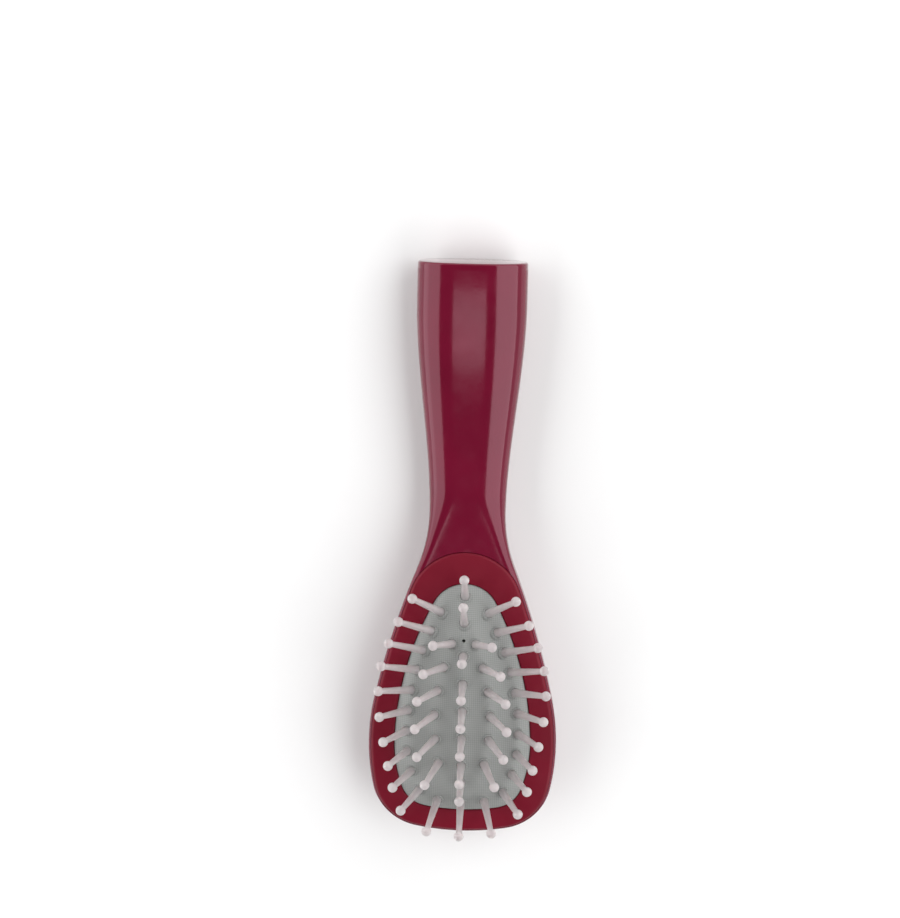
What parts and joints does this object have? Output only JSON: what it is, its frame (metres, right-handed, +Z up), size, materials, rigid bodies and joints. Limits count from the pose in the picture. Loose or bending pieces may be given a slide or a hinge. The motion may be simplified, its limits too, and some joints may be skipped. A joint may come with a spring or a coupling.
{
  "type": "pet pin brush",
  "caption": "Small pet grooming brush: hollow handle and dished head, face plate, domed air cushion and splayed ball-tipped pins that press in.",
  "frame": {"origin": "on the table, under the middle of the brush lying on its back", "axes": "+Z up along the pins, +Y along the handle towards the butt, +X across the head"},
  "size_m": [0.055, 0.168, 0.0385],
  "materials": {
    "shell_plastic": "glossy burgundy",
    "cap_plastic": "glossy burgundy",
    "plate_plastic": "satin burgundy",
    "cushion_rubber": "matt grey with a fine woven texture",
    "pin_nylon": "translucent white nylon"
  },
  "bodies": {
    "handle": {"body_shell": "shell_plastic", "end_cap": "cap_plastic", "face_plate": "plate_plastic", "cushion": "cushion_rubber"},
    "crown_pins": {"pin_crown_1": "pin_nylon", "pin_crown_2": "pin_nylon", "pin_crown_3": "pin_nylon", "pin_crown_4": "pin_nylon", "pin_crown_5": "pin_nylon"},
    "loop_pins": {"pin_loop_01": "pin_nylon", "pin_loop_02": "pin_nylon", "pin_loop_03": "pin_nylon", "pin_loop_04": "pin_nylon", "pin_loop_05": "pin_nylon", "pin_loop_06": "pin_nylon", "pin_loop_07": "pin_nylon", "pin_loop_08": "pin_nylon", "pin_loop_09": "pin_nylon", "pin_loop_10": "pin_nylon", "pin_loop_11": "pin_nylon", "pin_loop_12": "pin_nylon", "pin_loop_13": "pin_nylon", "pin_loop_14": "pin_nylon"},
    "ring_pins": {"pin_ring_01": "pin_nylon", "pin_ring_02": "pin_nylon", "pin_ring_03": "pin_nylon", "pin_ring_04": "pin_nylon", "pin_ring_05": "pin_nylon", "pin_ring_06": "pin_nylon", "pin_ring_07": "pin_nylon", "pin_ring_08": "pin_nylon", "pin_ring_09": "pin_nylon", "pin_ring_10": "pin_nylon", "pin_ring_11": "pin_nylon", "pin_ring_12": "pin_nylon", "pin_ring_13": "pin_nylon", "pin_ring_14": "pin_nylon", "pin_ring_15": "pin_nylon", "pin_ring_16": "pin_nylon", "pin_ring_17": "pin_nylon", "pin_ring_18": "pin_nylon", "pin_ring_19": "pin_nylon", "pin_ring_20": "pin_nylon", "pin_ring_21": "pin_nylon", "pin_ring_22": "pin_nylon", "pin_ring_23": "pin_nylon", "pin_ring_24": "pin_nylon"}
  },
  "joints": [
    {"name": "crown_press", "type": "slide", "parent": "handle", "child": "crown_pins", "axis": [0, 0, -1], "range_m": [0, 0.0035], "stiffness_N_per_m": 300, "deforming": ["cushion"]},
    {"name": "loop_press", "type": "slide", "parent": "handle", "child": "loop_pins", "axis": [0, 0, -1], "range_m": [0, 0.00266], "stiffness_N_per_m": 500},
    {"name": "ring_press", "type": "slide", "parent": "handle", "child": "ring_pins", "axis": [0, 0, -1], "range_m": [0, 0.001], "stiffness_N_per_m": 800}
  ],
  "couplings": [
    {"joint": "loop_press", "follows": "crown_press", "ratio": 0.74702},
    {"joint": "ring_press", "follows": "crown_press", "ratio": 0.271}
  ]
}
